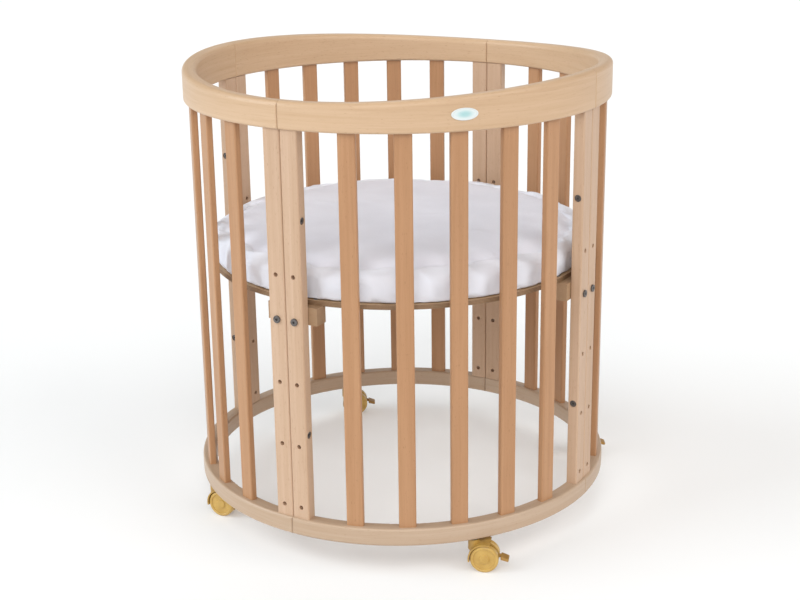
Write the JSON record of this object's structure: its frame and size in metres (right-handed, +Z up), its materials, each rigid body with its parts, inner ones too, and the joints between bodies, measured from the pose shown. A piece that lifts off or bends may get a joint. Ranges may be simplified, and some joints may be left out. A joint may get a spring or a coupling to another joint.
{
  "type": "convertible crib",
  "caption": "Round baby crib on braked twin-wheel castors: quarter-round slatted wood panels bolted at the seams, height-set base and a round mattress.",
  "frame": {"origin": "on the floor under the middle of the crib", "axes": "+Z up; -Y towards the front seam, where the top rail is lowest; +X towards the right seam, where it is highest"},
  "size_m": [0.78, 0.78, 0.8495],
  "materials": {
    "beech_rail": "clear satin lacquer",
    "beech_post": "clear satin lacquer",
    "beech_slat": "clear satin lacquer",
    "beech_cleat": "planed",
    "plywood": "sanded",
    "zinc_steel": "zinc plated",
    "dark_steel": "blackened",
    "brass_insert": "turned",
    "socket_plastic": "moulded",
    "castor_gold": "moulded",
    "castor_wheel": "moulded",
    "castor_lever": "moulded",
    "badge_white": "satin",
    "mattress_cover": "woven cotton cover over foam"
  },
  "bodies": {
    "frame": {"top_rail_front_right": "beech_rail", "bottom_rail_front_right": "beech_rail", "slats_front_right": "beech_slat", "top_rail_rear_right": "beech_rail", "bottom_rail_rear_right": "beech_rail", "slats_rear_right": "beech_slat", "top_rail_rear_left": "beech_rail", "bottom_rail_rear_left": "beech_rail", "slats_rear_left": "beech_slat", "top_rail_front_left": "beech_rail", "bottom_rail_front_left": "beech_rail", "slats_front_left": "beech_slat", "post_front_seam_left": "beech_post", "post_front_seam_right": "beech_post", "post_right_seam_front": "beech_post", "post_right_seam_rear": "beech_post", "post_rear_seam_right": "beech_post", "post_rear_seam_left": "beech_post", "post_left_seam_rear": "beech_post", "post_left_seam_front": "beech_post", "base_cleat_front": "beech_cleat", "base_cleat_right": "beech_cleat", "base_cleat_rear": "beech_cleat", "base_cleat_left": "beech_cleat", "base_board_left": "plywood", "base_board_right": "plywood", "seam_bolts": "zinc_steel", "seam_sleeve_nuts": "zinc_steel", "cleat_bolts": "dark_steel", "cleat_inserts": "brass_insert", "base_screws": "zinc_steel", "castor_sockets": "socket_plastic", "badge_plate": "badge_white"},
    "mattress": {"mattress": "mattress_cover"},
    "castor_front_right": {"castor_hood_front_right": "castor_gold", "castor_axle_front_right": "zinc_steel", "castor_stem_front_right": "zinc_steel"},
    "wheel_near_front_right": {"castor_wheel_near_front_right": "castor_wheel"},
    "wheel_far_front_right": {"castor_wheel_far_front_right": "castor_wheel"},
    "brake_front_right": {"castor_brake_lever_front_right": "castor_lever"},
    "castor_rear_right": {"castor_hood_rear_right": "castor_gold", "castor_axle_rear_right": "zinc_steel", "castor_stem_rear_right": "zinc_steel"},
    "wheel_near_rear_right": {"castor_wheel_near_rear_right": "castor_wheel"},
    "wheel_far_rear_right": {"castor_wheel_far_rear_right": "castor_wheel"},
    "brake_rear_right": {"castor_brake_lever_rear_right": "castor_lever"},
    "castor_rear_left": {"castor_hood_rear_left": "castor_gold", "castor_axle_rear_left": "zinc_steel", "castor_stem_rear_left": "zinc_steel"},
    "wheel_near_rear_left": {"castor_wheel_near_rear_left": "castor_wheel"},
    "wheel_far_rear_left": {"castor_wheel_far_rear_left": "castor_wheel"},
    "brake_rear_left": {"castor_brake_lever_rear_left": "castor_lever"},
    "castor_front_left": {"castor_hood_front_left": "castor_gold", "castor_axle_front_left": "zinc_steel", "castor_stem_front_left": "zinc_steel"},
    "wheel_near_front_left": {"castor_wheel_near_front_left": "castor_wheel"},
    "wheel_far_front_left": {"castor_wheel_far_front_left": "castor_wheel"},
    "brake_front_left": {"castor_brake_lever_front_left": "castor_lever"}
  },
  "joints": [
    {"name": "mattress_lift", "type": "slide", "parent": "frame", "child": "mattress", "axis": [0, 0, 1], "range_m": [0, 0.45]},
    {"name": "swivel_front_right", "type": "hinge", "parent": "frame", "child": "castor_front_right", "pos_m": [0.28453, -0.24733, 0.06], "axis": [0, 0, 1], "continuous": true},
    {"name": "roll_near_front_right", "type": "hinge", "parent": "castor_front_right", "child": "wheel_near_front_right", "pos_m": [0.30332, -0.24049, 0.025], "axis": [-0.342, 0.9397, 0], "continuous": true},
    {"name": "roll_far_front_right", "type": "hinge", "parent": "castor_front_right", "child": "wheel_far_front_right", "pos_m": [0.30332, -0.24049, 0.025], "axis": [-0.342, 0.9397, 0], "continuous": true},
    {"name": "brake_press_front_right", "type": "hinge", "parent": "castor_front_right", "child": "brake_front_right", "pos_m": [0.31835, -0.23502, 0.033], "axis": [-0.342, 0.9397, 0], "range_deg": [0, 14]},
    {"name": "swivel_rear_right", "type": "hinge", "parent": "frame", "child": "castor_rear_right", "pos_m": [0.24733, 0.28453, 0.06], "axis": [0, 0, 1], "continuous": true},
    {"name": "roll_near_rear_right", "type": "hinge", "parent": "castor_rear_right", "child": "wheel_near_rear_right", "pos_m": [0.26465, 0.29453, 0.025], "axis": [-0.5, 0.866, 0], "continuous": true},
    {"name": "roll_far_rear_right", "type": "hinge", "parent": "castor_rear_right", "child": "wheel_far_rear_right", "pos_m": [0.26465, 0.29453, 0.025], "axis": [-0.5, 0.866, 0], "continuous": true},
    {"name": "brake_press_rear_right", "type": "hinge", "parent": "castor_rear_right", "child": "brake_rear_right", "pos_m": [0.27851, 0.30253, 0.033], "axis": [-0.5, 0.866, 0], "range_deg": [0, 14]},
    {"name": "swivel_rear_left", "type": "hinge", "parent": "frame", "child": "castor_rear_left", "pos_m": [-0.28453, 0.24733, 0.06], "axis": [0, 0, 1], "continuous": true},
    {"name": "roll_near_rear_left", "type": "hinge", "parent": "castor_rear_left", "child": "wheel_near_rear_left", "pos_m": [-0.26756, 0.25793, 0.025], "axis": [-0.5299, 0.848, 0], "continuous": true},
    {"name": "roll_far_rear_left", "type": "hinge", "parent": "castor_rear_left", "child": "wheel_far_rear_left", "pos_m": [-0.26756, 0.25793, 0.025], "axis": [-0.5299, 0.848, 0], "continuous": true},
    {"name": "brake_press_rear_left", "type": "hinge", "parent": "castor_rear_left", "child": "brake_rear_left", "pos_m": [-0.254, 0.26641, 0.033], "axis": [-0.5299, 0.848, 0], "range_deg": [0, 14]},
    {"name": "swivel_front_left", "type": "hinge", "parent": "frame", "child": "castor_front_left", "pos_m": [-0.24733, -0.28453, 0.06], "axis": [0, 0, 1], "continuous": true},
    {"name": "roll_near_front_left", "type": "hinge", "parent": "castor_front_left", "child": "wheel_near_front_left", "pos_m": [-0.22741, -0.28278, 0.025], "axis": [-0.0872, 0.9962, 0], "continuous": true},
    {"name": "roll_far_front_left", "type": "hinge", "parent": "castor_front_left", "child": "wheel_far_front_left", "pos_m": [-0.22741, -0.28278, 0.025], "axis": [-0.0872, 0.9962, 0], "continuous": true},
    {"name": "brake_press_front_left", "type": "hinge", "parent": "castor_front_left", "child": "brake_front_left", "pos_m": [-0.21147, -0.28139, 0.033], "axis": [-0.0872, 0.9962, 0], "range_deg": [0, 14]}
  ]
}
